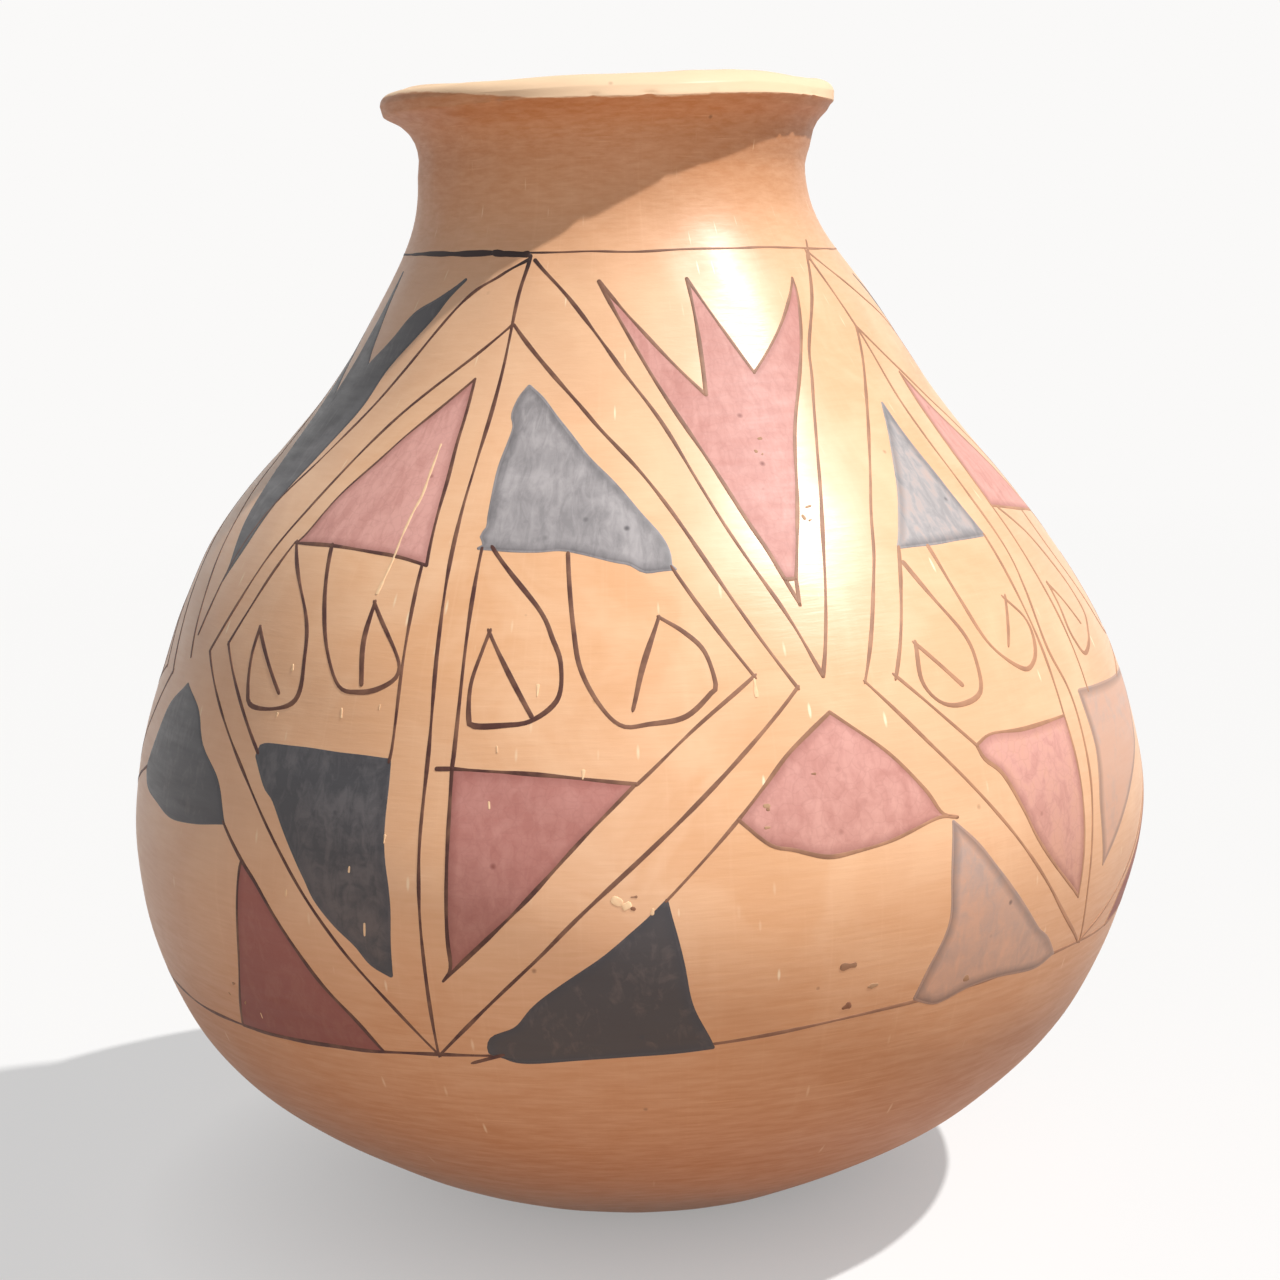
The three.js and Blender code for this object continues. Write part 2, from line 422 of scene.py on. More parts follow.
# All in mm: the steps along a stroke and over a field, how deep their undersides lie in the wall, and
# how far a coat's edge is rounded down
STROKE_STEP, FIELD_STEP = 1.1, 1.2
STROKE_DEPTH, FIELD_DEPTH = 0.06, 0.12
EDGE_DROP = 0.015

# How far strokes lie above the top of a field's coat, in mm: what was painted later covers the rest
BELLY_LINE, BLACK_EDGE, LINES, WEAR = -0.015, -0.006, 0.02, 0.03

LOWER_CURVE = flowing([(a + turn, h) for turn in (-360, 0, 360) for a, h in LOWER_LINE])


def lower_line(angle):
    """The height of the line on the belly."""
    return np.interp(angle, *LOWER_CURVE.T)


def neck_line(angle):
    """The height of the line at the root of the neck, which lies 0.8 mm lower at the right."""
    return NECK_LINE_HEIGHT - 0.8 * np.sin(np.radians(angle))


def placed(points, bay):
    """A bay's percent turned into (angle, height) on the wall."""
    u, v = points[:, 0], points[:, 1]
    left, middle, right = (BAY_MIDDLES[-1] - 360, *BAY_MIDDLES, BAY_MIDDLES[0] + 360)[bay:bay + 3]
    angle = middle + u / 100 * np.where(u < 0, middle - left, right - middle)
    low, high = lower_line(angle), neck_line(angle)
    return np.column_stack([angle, low + v / 100 * (high - low)])


def painted(path):
    """The waver of the brush: everything painted shifts by a smooth wander of the place on the wall, so
    that lines and fields that touch still touch."""
    waver = bpy.context.scene.vase_paint.waver / MM
    shift = np.stack([unevenness(*path.T, seed, 16, 46) for seed in (11, 12)], axis=-1)
    return path + waver * shift / wall_scale(path[:, 1])


def run_length(path):
    """Distance along a path of (angle, height), in mm on the wall."""
    middle = 0.5 * (path[1:, 1] + path[:-1, 1])
    return distance_gone(np.diff(path, axis=0) * wall_scale(middle))


def grid_quads(index):
    """The four-sided faces between neighbours in a grid of point numbers. In a grid that closes on
    itself the first row or column stands again at the end."""
    return np.stack([index[:-1, :-1], index[:-1, 1:], index[1:, 1:], index[1:, :-1]], -1).reshape(-1, 4)


def ribbon(path, width, lift, seed, overshoot=0.0, ragged=0.16, waves=(48, 11), facts=(0.0, 0.0)):
    """One brush line: a thin closed strip along a path of (angle, height). At each step a flat-topped
    section of six points is set square to the path; its half width swells and thins by a seeded
    wander, and is rounded off like a half circle at both ends. Overshoot is how many mm it may run
    on, ragged how far the width strays, and waves the wander's most in a turn and least mm up."""
    length = run_length(path)
    count = max(9, int(length[-1] / STROKE_STEP) + 2)
    width = np.interp(np.linspace(0, length[-1], count), length, np.broadcast_to(width, length.shape))
    reach = 0.5 * width.mean() + overshoot * abs(unevenness(*path[[0, -1]].T, 34, 90, 5))
    line = evenly(path, length, count)
    scale = wall_scale(line[:, 1])
    heading = np.gradient(line, axis=0) * scale
    heading /= np.maximum(np.hypot(*heading.T), 1e-9)[:, None]
    before = [line[0] - k * reach[0] * heading[0] / scale[0] for k in (1, 0.6)]
    after = [line[-1] + k * reach[1] * heading[-1] / scale[-1] for k in (0.6, 1)]
    line = np.vstack([before, line, after])
    # The two rows past either end take their width and their heading from that end
    own = np.r_[0, 0, :count, -1, -1]
    swell = 1 + ragged * np.clip(unevenness(*line.T, seed, *waves, 18), -1.7, 1.7)
    half = 0.5 * width[own] * swell
    half[[0, -1]] *= 0.35
    half[[1, -2]] *= 0.8
    offset = np.array([-1.1, -1.0, -0.86, 0.86, 1.0, 1.1])[:, None]
    raised = np.array([-STROKE_DEPTH, lift - EDGE_DROP, lift, lift, lift - EDGE_DROP, -STROKE_DEPTH])
    sideways = np.column_stack([-heading[own, 1], heading[own, 0]]) / wall_scale(line[:, 1])
    points = line[:, None] + offset * half[:, None, None] * sideways[:, None]
    vertices = on_wall(points[..., 0], points[..., 1], raised).reshape(-1, 3)
    ring = np.arange(len(vertices)).reshape(-1, 6).T
    cap = np.array([[0, 1, 2, 5], [2, 3, 4, 5]])
    quads = np.vstack([grid_quads(np.vstack([ring, ring[:1]])), cap, ring[0, -1] + cap[:, ::-1]])
    return vertices, quads, np.tile(facts, (len(vertices), 1))


def four_sides(field):
    """A field's left, right, top and bottom, each with its corners."""
    _, _, left, right, top, bottom = field
    return left, right, [left[-1], *top, right[-1]], [left[0], *bottom, right[0]]


def field_patch(field, bay, lift):
    """One painted field: a thin closed skin over four sides. A point s across and t up is the straight
    blend of left and right at t, plus the straight blend of bottom and top at s, less the blend of the
    four corners (a Coons patch). The same sheet lowered into the wall closes it. Facts are the mm to
    the nearest side, and how thin the coat is."""
    edges = [strokes_of(points) or [np.array(points[:1], float)] for points in four_sides(field)]
    edges = [painted(placed(np.vstack(runs), bay)) for runs in edges]
    sides, shares = [], []
    for pair in (edges[:2], edges[2:]):
        lengths = [run_length(edge) for edge in pair]
        longest = max(length[-1] for length in lengths)
        count = int(longest / FIELD_STEP) + 3
        # One more row 0.08 mm in from either end, for the rounded edge
        inset = min(0.08 / longest, 0.3 / count)
        even = np.linspace(0, 1, count)
        shares.append(np.unique(np.r_[even, inset, 1 - inset]))
        for edge, length in zip(pair, lengths):
            line = evenly(edge, length, count) if length[-1] > 0 else np.repeat(edge[:1], count, 0)
            sides.append(np.stack([np.interp(shares[-1], even, column) for column in line.T], -1))
    left, right, top, bottom = sides
    s, t = shares[1][None, :, None], shares[0][:, None, None]
    sheet = ((1 - s) * left[:, None] + s * right[:, None] + (1 - t) * bottom + t * top
             - (1 - s) * (1 - t) * left[0] - s * (1 - t) * right[0]
             - (1 - s) * t * left[-1] - s * t * right[-1])
    angle, height = sheet[..., 0], sheet[..., 1]
    top_of_coat = np.full(angle.shape, lift - EDGE_DROP)
    top_of_coat[1:-1, 1:-1] = lift
    over, under = on_wall(angle, height, top_of_coat), on_wall(angle, height, -FIELD_DEPTH)
    index = np.arange(angle.size).reshape(angle.shape)
    face = grid_quads(index)
    rim = np.r_[index[0], index[1:, -1], index[-1, -2::-1], index[-2:0:-1, 0]]
    skirt = np.column_stack([rim, rim + index.size, np.roll(rim, -1) + index.size, np.roll(rim, -1)])
    quads = np.vstack([face, face[:, ::-1] + index.size, skirt])
    scale = wall_scale(height)
    near = np.min([np.hypot(*np.moveaxis((sheet - line) * scale, -1, 0))
                   for line in (left[:, None], right[:, None], top, bottom)], axis=0).ravel()
    facts = np.column_stack([near, np.full(near.shape, field[1])])
    return np.vstack([over.reshape(-1, 3), under.reshape(-1, 3)]), quads, np.vstack([facts, facts])


def field_outline(field, bay, width, lift):
    """The brush stroke along each side of a field, with the field's own thinness."""
    return [ribbon(painted(placed(run, bay)), width, lift, 33, facts=(1.0, field[1]))
            for points in four_sides(field) for run in strokes_of(points)]


# Meshes

def new_object(name, vertices, faces, material):
    """A new mesh object from arrays, which stands at the origin."""
    mesh = bpy.data.meshes.new(name)
    mesh.from_pydata(vertices.reshape(-1, 3).tolist(), [], faces)
    mesh.materials.append(material)
    made = bpy.data.objects.new(name, mesh)
    bpy.context.scene.collection.objects.link(made)
    return made


def make_piece(name, vertices, faces, attributes, material):
    """A smooth piece that hangs on the pot's body. The points of closed tips and seams are merged."""
    piece = new_object(name, vertices, faces, material)
    mesh = piece.data
    mesh.polygons.foreach_set("use_smooth", np.ones(len(mesh.polygons), bool))
    for key, values in attributes.items():
        mesh.attributes.new(key, "FLOAT", "POINT").data.foreach_set("value", np.asarray(values, np.float32))
    work = bmesh.new()
    work.from_mesh(mesh)
    bmesh.ops.remove_doubles(work, verts=work.verts, dist=2e-6)
    bmesh.ops.dissolve_degenerate(work, edges=work.edges, dist=1e-7)
    if work.calc_volume(signed=True) < 0:
        bmesh.ops.reverse_faces(work, faces=work.faces)
    work.to_mesh(mesh)
    work.free()
    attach(piece, "root")
    return piece


def make_painted(name, parts, keys, material):
    """One piece from many parts of (vertices, quads, facts), whose facts become its attributes."""
    vertices, quads, facts = zip(*parts)
    starts = np.cumsum([0, *(len(part) for part in vertices[:-1])])
    quads = np.vstack([part + start for part, start in zip(quads, starts)]).tolist()
    make_piece(name, np.vstack(vertices), quads, dict(zip(keys, np.vstack(facts).T)), material)


# Materials

def linear(hex_colour):
    """An sRGB hex colour as linear red, green, blue and alpha."""
    value = np.array([int(hex_colour[i:i + 2], 16) for i in (1, 3, 5)]) / 255
    value = np.where(value <= 0.04045, value / 12.92, ((value + 0.055) / 1.055) ** 2.4)
    return (*value.tolist(), 1.0)


def add(tree, kind, sockets=None, **settings):
    """Adds a shader node with its settings, and sets or links its sockets. Where the value is a node,
    its first output in use is linked."""
    node = tree.nodes.new("ShaderNode" + kind)
    for name, value in settings.items():
        setattr(node, name, value)
    for name, value in (sockets or {}).items():
        if isinstance(value, bpy.types.Node):
            value = next(output for output in value.outputs if output.enabled)
        if isinstance(value, bpy.types.NodeSocket):
            tree.links.new(value, node.inputs[name])
        else:
            node.inputs[name].default_value = value
    return node


def empty_tree(owner):
    """The node tree of a material or a world, with nothing in it."""
    owner.use_nodes = True
    owner.node_tree.nodes.clear()
    return owner.node_tree


def start_material(name):
    """A new material, its empty tree, and the object's own metres as a pattern's coordinates."""
    material = bpy.data.materials.new(name)
    tree = empty_tree(material)
    return material, tree, add(tree, "TexCoord").outputs["Object"]


def round_the_pot(tree, here):
    """Coordinates for a pattern that runs round the pot's axis: (sine, cosine, metres up)."""
    flat = add(tree, "VectorMath", {0: here, 1: (1, 1, 0)}, operation="MULTIPLY")
    around = add(tree, "VectorMath", {0: flat}, operation="NORMALIZE")
    height = add(tree, "VectorMath", {0: here, 1: (0, 0, 1)}, operation="MULTIPLY")
    return add(tree, "VectorMath", {0: around, 1: height}, operation="ADD")


def tool_marks(tree, around, stretch, **noise):
    """The marks of a tool: noise with so many grains to 1 of sine, of cosine and of metres up."""
    marks = add(tree, "Mapping", {"Vector": around, "Scale": stretch})
    return add(tree, "TexNoise", {"Vector": marks, "Scale": 1.0, **noise})


def specks(tree, here, scale, chance, size):
    """Round specks: each cell draws lots, and a speck shows where the draw is above the first chance,
    and fully above the second. Size is how far from the cell's middle it ends and where it is full."""
    cells = add(tree, "TexVoronoi", {"Vector": here, "Scale": scale})
    chosen = add(tree, "SeparateColor", {0: cells.outputs["Color"]})
    rare = add(tree, "MapRange", {0: chosen.outputs[0], 1: chance[0], 2: chance[1]})
    spot = add(tree, "MapRange", {0: cells, 1: size[0], 2: size[1]})
    return add(tree, "Math", {0: rare, 1: spot}, operation="MULTIPLY")


def burnished_earthenware():
    """Buff earthenware, rubbed with a stone while leather hard and fired in the open. The eye gets a warm
    tan with soft fire clouds, redder, darker and more streaky where no slip was laid, fine level rubbing
    streaks, upright wiping marks, pale flecks and small dark pits. The darker red-brown on the neck and low
    on the pot is partly the clay's own tone and partly painted shade, under the rim and on the underside."""
    paint = bpy.context.scene.vase_colours
    material, tree, here = start_material("burnished_earthenware")
    around = round_the_pot(tree, here)
    burnish = add(tree, "Attribute", attribute_name="burnish").outputs["Fac"]

    # Fire clouds are about 70 mm across
    cloud = add(tree, "TexNoise", {"Vector": here, "Scale": 14.0, "Detail": 2.0, "Roughness": 0.45})
    cloud = add(tree, "MapRange", {0: cloud, 1: 0.35, 2: 0.68})
    # Worn, paler patches of 10 to 25 mm
    worn = add(tree, "TexNoise", {"Vector": here, "Scale": 46.0, "Detail": 3.0, "Roughness": 0.6,
                                  "Distortion": 0.8})
    worn = add(tree, "MapRange", {0: worn, 1: 0.42, 2: 0.72, 4: 0.95})

    # Rubbing streaks: about 1 mm high and 5 to 10 mm long, level, with finer ones among them
    rub = tool_marks(tree, around, (11, 11, 1000), Detail=4.0, Roughness=0.65)
    streak = add(tree, "MapRange", {0: rub, 1: 0.35, 2: 0.65})
    streak = add(tree, "Mix", {0: streak, 6: paint.clay_dark, 7: paint.clay_pale}, data_type="RGBA")
    # Up on the neck and low on the pot the clay is redder and darker, and shows its streaks more. The
    # darker red-brown is partly the clay's own tone and partly painted shade under the rim and on the
    # underside
    tall = add(tree, "SeparateXYZ", {0: here}).outputs["Z"]
    neck = add(tree, "MapRange", {0: tall, 1: 0.205, 2: 0.242})
    low = add(tree, "MapRange", {0: tall, 1: 0.1, 2: 0.035})
    bare = add(tree, "Math", {0: neck, 1: low}, operation="MAXIMUM")
    redder_and_shaded = add(tree, "Math", {0: bare, 1: 0.92}, operation="MULTIPLY")
    streaky = add(tree, "MapRange", {0: bare, 3: 0.13, 4: 0.36})
    # Fine level scratches: 0.3 mm high and up to 30 mm long
    scratch = tool_marks(tree, around, (5, 5, 2400), Detail=1.0)
    scratch = add(tree, "MapRange", {0: scratch, 1: 0.64, 2: 0.78, 4: 0.2})
    # Wiping marks that run up and down, 1.2 mm wide and about 40 mm long
    wipe = tool_marks(tree, around, (88, 88, 24), Detail=2.0, Roughness=0.55)
    wiped = add(tree, "MapRange", {0: bare, 3: 0.25, 4: 0.0})
    wipe = add(tree, "MapRange", {0: wipe, 1: 0.58, 2: 0.8, 4: wiped})

    # Pale flecks where a grain was dragged out: under 1 mm wide and 2 to 4 mm tall, in one cell of a few
    drag = add(tree, "Mapping", {"Vector": around, "Scale": (38, 38, 85)})
    drag = add(tree, "TexVoronoi", {"Vector": drag, "Scale": 1.0})
    chosen = add(tree, "SeparateColor", {0: drag.outputs["Color"]})
    share = add(tree, "MapRange", {0: bare, 3: 1.8, 4: 0.3})
    seldom = add(tree, "MapRange", {0: chosen.outputs[1], 1: 0.45, 2: 0.88, 4: share})
    fleck = add(tree, "MapRange", {0: drag, 1: 0.14, 2: 0.05})
    fleck = add(tree, "Math", {0: fleck, 1: chosen.outputs[2]}, operation="MULTIPLY")
    fleck = add(tree, "Math", {0: seldom, 1: fleck}, operation="MULTIPLY")

    # Clay that was never rubbed is paler. Where the rubbing stopped, its strokes leave a streaky edge
    rubbed = add(tree, "Math", {0: rub, 1: 0.6, 2: burnish}, operation="MULTIPLY_ADD")
    rubbed = add(tree, "MapRange", {0: rubbed, 1: 0.72, 2: 0.88})
    raw = add(tree, "MapRange", {0: rubbed, 3: 0.85, 4: 0.0})
    # Pits: one cell in a few holds a dark speck under 1 mm across
    pit = specks(tree, here, 150.0, (0.86, 0.99), (0.1, 0.03))

    colour = paint.clay
    # The red-brown on the neck and low on the pot is partly the clay's own tone and partly painted shade
    for layer, tint in ((cloud, paint.clay_warm), (worn, paint.clay_pale), (redder_and_shaded, linear("#A8591A")),
                        (streaky, streak), (scratch, paint.clay_pale), (wipe, paint.clay_pale),
                        (fleck, linear("#FBE6C2")), (raw, linear("#F5D5B0")), (pit, linear("#6E4426"))):
        colour = add(tree, "Mix", {0: layer, 6: colour, 7: tint}, data_type="RGBA")

    # Rubbed clay is satin, and where the stone didn't reach, at the rim and inside, it is matt
    polish = add(tree, "MapRange", {0: rub, 1: 0.3, 2: 0.7, 3: 0.43, 4: 0.36})
    polish = add(tree, "Math", {0: bare, 1: 0.2, 2: polish}, operation="MULTIPLY_ADD")
    rough = add(tree, "Mix", {0: rubbed, 2: 0.78, 3: polish})
    relief = add(tree, "Math", {0: pit, 1: -1.5, 2: rub}, operation="MULTIPLY_ADD")
    bump = add(tree, "Bump", {"Strength": 0.4, "Distance": 0.00012, "Height": relief})
    clay = add(tree, "BsdfPrincipled", {"Base Color": colour, "Roughness": rough, "Normal": bump,
                                        "Specular IOR Level": 0.45, "Coat Weight": 0.15,
                                        "Coat Roughness": 0.32})
    add(tree, "OutputMaterial", {"Surface": clay})
    return material


def burnished_slip(name, main, second, speck, browned, rough, crazed):
    """Coloured liquid clay, brushed on in one or two coats and rubbed. The eye gets brush clouds, thin
    places where the clay lightens it, a darker edge where the brush stopped, and fine dark specks, all
    browner low on the pot. The red one is crazed all over, in cells of 2 mm. On two black fields beside the
    main lamp's highlight, the paler thin coat is partly painted sheen."""
    material, tree, here = start_material(name)
    around = round_the_pot(tree, here)
    edge = add(tree, "Attribute", attribute_name="from_edge").outputs["Fac"]
    thin = add(tree, "Attribute", attribute_name="thin").outputs["Fac"]

    # Brush clouds are 8 to 20 mm across, with blots of 3 or 4 mm in them. They show most in a thin coat
    cloud = add(tree, "TexNoise", {"Vector": here, "Scale": 70.0, "Detail": 5.0, "Roughness": 0.62,
                                   "Distortion": 1.2})
    tracks = tool_marks(tree, around, (42, 42, 230), Detail=4.0, Roughness=0.62, Distortion=0.7)
    cloud = add(tree, "Math", {0: cloud, 1: tracks}, operation="ADD")
    cloud = add(tree, "MapRange", {0: cloud, 1: 0.8, 2: 1.2, 3: -0.3, 4: 0.3})
    shown = add(tree, "MapRange", {0: thin, 3: 0.35, 4: 0.8})
    lay = add(tree, "Math", {0: cloud, 1: shown, 2: thin}, operation="MULTIPLY_ADD")

    # Lower on the pot it turns browner
    tall = add(tree, "SeparateXYZ", {0: here}).outputs["Z"]
    lower_down = add(tree, "MapRange", {0: tall, 1: 0.115, 2: 0.065, 4: 0.75})
    heavy = add(tree, "Mix", {0: lower_down, 6: main, 7: browned}, data_type="RGBA")
    light = add(tree, "Mix", {0: lower_down, 6: second, 7: linear("#B08468")}, data_type="RGBA")

    # Thinner still, and the clay shows through
    calm = add(tree, "Math", {0: lay, 1: thin}, operation="ADD")
    through = add(tree, "MapRange", {0: calm, 1: 1.9, 2: 2.7, 4: 0.75})
    layers = [(lay, light), (through, linear("#DDA98A"))]
    if crazed:
        bent = add(tree, "TexNoise", {"Vector": here, "Scale": 300.0, "Detail": 2.0})
        bent = add(tree, "VectorMath", {0: bent.outputs["Color"], 1: (0.0022, 0.0022, 0.0022), 2: here},
                   operation="MULTIPLY_ADD")
        crack = add(tree, "TexVoronoi", {"Vector": bent, "Scale": 400.0}, feature="DISTANCE_TO_EDGE")
        crack = add(tree, "MapRange", {0: crack.outputs["Distance"], 2: 0.07, 3: 0.1, 4: 0.0})
        layers.append((crack, speck))
    # Where the brush stopped the coat is thicker for about 1.5 mm
    border = add(tree, "MapRange", {0: edge, 1: 0.3, 2: 2.2, 3: 0.45, 4: 0.0})
    # Specks of 0.3 to 0.8 mm
    grit = specks(tree, here, 260.0, (0.8, 0.97), (0.2, 0.06))
    colour = heavy
    for layer, tint in (*layers, (border, speck), (grit, speck)):
        colour = add(tree, "Mix", {0: layer, 6: colour, 7: tint}, data_type="RGBA")

    rub = tool_marks(tree, around, (7, 7, 620), Detail=3.0, Roughness=0.6)
    polish = add(tree, "MapRange", {0: rub, 1: 0.3, 2: 0.7, 3: rough + 0.08, 4: rough - 0.05})
    bump = add(tree, "Bump", {"Strength": 0.5, "Distance": 0.0001, "Height": rub})
    slip = add(tree, "BsdfPrincipled", {"Base Color": colour, "Roughness": polish, "Normal": bump,
                                        "Specular IOR Level": 0.4, "Coat Weight": 0.08,
                                        "Coat Roughness": 0.4})
    add(tree, "OutputMaterial", {"Surface": slip})
    return material


def line_slip():
    """Dark slip drawn with a chewed-leaf brush: plum brown, in spots of 4 mm paler, and paler all along
    towards the right of the front, partly where the brush ran dry and the clay shows, and partly as a
    painted highlight on the side the main lamp lights. At the left of the front the neck line is darker,
    partly from a second coat and partly as painted shade under the rim."""
    paint = bpy.context.scene.vase_colours
    material, tree, here = start_material("iron_line_slip")
    place = add(tree, "SeparateXYZ", {0: here})
    # Paler towards the right of the front: partly a dry brush, partly a painted highlight on the main
    # lamp's side
    dry_and_lit = add(tree, "MapRange", {0: place.outputs["X"], 1: -0.02, 2: 0.07, 4: 0.8})
    spotty = add(tree, "TexNoise", {"Vector": here, "Scale": 170.0, "Detail": 3.0, "Roughness": 0.6})
    spotty = add(tree, "MapRange", {0: spotty, 1: 0.4, 2: 0.75, 4: 0.4})
    thin = add(tree, "Math", {0: dry_and_lit, 1: spotty}, operation="ADD", use_clamp=True)
    colour = add(tree, "Mix", {0: thin, 6: paint.line, 7: paint.line_thin}, data_type="RGBA")

    # The neck line was gone over twice at the left of the front, and is darker there: partly that second
    # coat, partly painted shade under the rim
    left = add(tree, "MapRange", {0: place.outputs["X"], 1: -0.008, 2: -0.02})
    top = add(tree, "MapRange", {0: place.outputs["Z"], 1: 0.209, 2: 0.212})
    twice_and_shaded = add(tree, "Math", {0: left, 1: top}, operation="MULTIPLY")
    colour = add(tree, "Mix", {0: twice_and_shaded, 6: colour, 7: linear("#281A18")}, data_type="RGBA")
    slip = add(tree, "BsdfPrincipled", {"Base Color": colour, "Roughness": 0.55, "Specular IOR Level": 0.3})
    add(tree, "OutputMaterial", {"Surface": slip})
    return material


def chip_and_shadow_clay():
    """Where the slip or the rubbed skin has been knocked off: matt clay, pale in a fresh scrape and dark
    brown in an old one that holds dirt. The same dark brown is painted shadow in the two marks beside the
    pale chip at the front."""
    material, tree, here = start_material("bare_clay_chip_and_shadow")
    dirt_and_shadow = add(tree, "Attribute", attribute_name="dirt_and_shadow").outputs["Fac"]
    grain = add(tree, "TexNoise", {"Vector": here, "Scale": 900.0, "Detail": 2.0})
    fresh = add(tree, "Mix", {0: grain, 6: linear("#FBDDB0"), 7: linear("#E8B88F")}, data_type="RGBA")
    colour = add(tree, "Mix", {0: dirt_and_shadow, 6: fresh, 7: linear("#7A4A35")}, data_type="RGBA")
    clay = add(tree, "BsdfPrincipled", {"Base Color": colour, "Roughness": 0.75})
    add(tree, "OutputMaterial", {"Surface": clay})
    return material


def shown_directly(tree):
    """1 for what the camera sees, also in something shiny or clear, and 0 for light on its way to a
    matt surface."""
    seen = add(tree, "LightPath").outputs
    shown = add(tree, "Math", {0: seen["Is Camera Ray"], 1: seen["Is Glossy Ray"]}, operation="MAXIMUM")
    return add(tree, "Math", {0: shown, 1: seen["Is Transmission Ray"]}, operation="MAXIMUM")


def matt_floor(floor_colour):
    """A plain matt floor that fades into the background from 0.45 to 1.5 m away. What bounces from it
    onto the pot is held lower than what the camera sees of it. Near the pot the camera sees it part lit
    from below, so that the shadow stays pale, and darker right under the pot, so that it stands."""
    material, tree, here = start_material("matt_floor")
    shown = shown_directly(tree)
    colour = add(tree, "Mix", {0: shown, 6: linear("#94704F"), 7: floor_colour}, data_type="RGBA")
    matt = add(tree, "BsdfDiffuse", {"Color": colour})
    backdrop = add(tree, "Emission", {"Color": linear("#FAF9F8")})
    away = add(tree, "VectorMath", {0: here}, operation="LENGTH")
    far = add(tree, "MapRange", {0: away, 1: 0.45, 2: 1.5})
    glow = add(tree, "MapRange", {0: away, 1: 0.03, 2: 0.12, 3: 0.32, 4: 0.6})
    glow = add(tree, "Math", {0: shown, 1: glow}, operation="MULTIPLY")
    far = add(tree, "Math", {0: far, 1: glow}, operation="MAXIMUM")
    add(tree, "OutputMaterial", {"Surface": add(tree, "MixShader", {0: far, 1: matt, 2: backdrop})})
    return material


# Sizes and colours that a user may change

def colour_property(name, description, hex_colour):
    """A colour that the panel shows, given as sRGB hex."""
    return bpy.props.FloatVectorProperty(name=name, description=description, subtype="COLOR", size=4,
                                         min=0, max=1, default=linear(hex_colour))


def length_property(name, description, metres, least, most):
    """A length that the panel shows, with its limits in metres."""
    return bpy.props.FloatProperty(name=name, description=description, default=metres, min=least,
                                   max=most, precision=6, unit="LENGTH", subtype="DISTANCE")


def angle_property(name, description, degrees):
    """An angle that the panel shows, given in degrees."""
    return bpy.props.FloatProperty(name=name, description=description, default=math.radians(degrees),
                                   unit="ROTATION", subtype="ANGLE")


class VaseBodySettings(bpy.types.PropertyGroup):
    unevenness: length_property("Unevenness", "How far the hand-formed wall strays from a turned one",
                                PLAIN_UNEVENNESS, 0, 0.001)
    columns: bpy.props.IntProperty(
        name="Columns", description="Faces round the wall", default=312, min=64, max=312)


class VasePaintSettings(bpy.types.PropertyGroup):
    line_width: length_property("Line width", "Width of the drawn lines", 0.0007, 0.0003, 0.004)
    hook_width: length_property("Hook width", "Width of the looped hooks' lines", 0.0009, 0.0003, 0.004)
    coat: length_property("Coat", "Height of a painted field above the clay", 0.00004, 0.00003, 0.0003)
    waver: length_property("Waver", "How far the brush wavers from its path", 0.00007, 0, 0.001)


class VaseColourSettings(bpy.types.PropertyGroup):
    clay: colour_property("Clay", "Main colour of the burnished clay", "#E9BA93")
    clay_warm: colour_property("Warm clay", "Clay where the fire reddened it", "#E2AC7F")
    clay_dark: colour_property("Rubbed clay", "The darker rubbing streaks", "#D29C6E")
    clay_pale: colour_property("Pale clay", "The paler streaks and scuffs", "#F0C39B")
    red: colour_property("Red slip", "Main colour of the red fields", "#AF7066")
    red_pale: colour_property("Thin red slip", "Red slip where it lies thin", "#DCA59A")
    red_dark: colour_property("Heavy red slip", "Red slip where it lies thick", "#824840")
    black: colour_property("Black slip", "Main colour of the black fields", "#444346")
    black_pale: colour_property("Thin black slip", "Black slip where it lies thin", "#AEA8A8")
    black_dark: colour_property("Heavy black slip", "Black slip where it lies thick", "#38363A")
    line: colour_property("Line", "Drawn lines where the brush was loaded", "#4F312B")
    line_thin: colour_property("Thin line", "Drawn lines where they run thin", "#B98A6C")


class VaseStageSettings(bpy.types.PropertyGroup):
    floor: colour_property("Floor", "Colour of the floor and the background", "#DFDFDF")
    lamp: bpy.props.FloatProperty(
        name="Lamp", description="Strength of the main lamp, in watts to the square metre", default=4.5,
        min=0, max=10)
    fill: bpy.props.FloatProperty(
        name="Fill", description="Strength of the light from all round", default=0.1, min=0, max=2)
    low: bpy.props.FloatProperty(
        name="Low lamp", description="Power of the soft lamp low in front, in watts", default=0.79, min=0,
        max=10)
    azimuth: angle_property("Lamp side", "Turn of the lamp from the front towards the right", 75)
    elevation: angle_property("Lamp height", "Angle of the lamp above the floor", 57.5)


# Operators

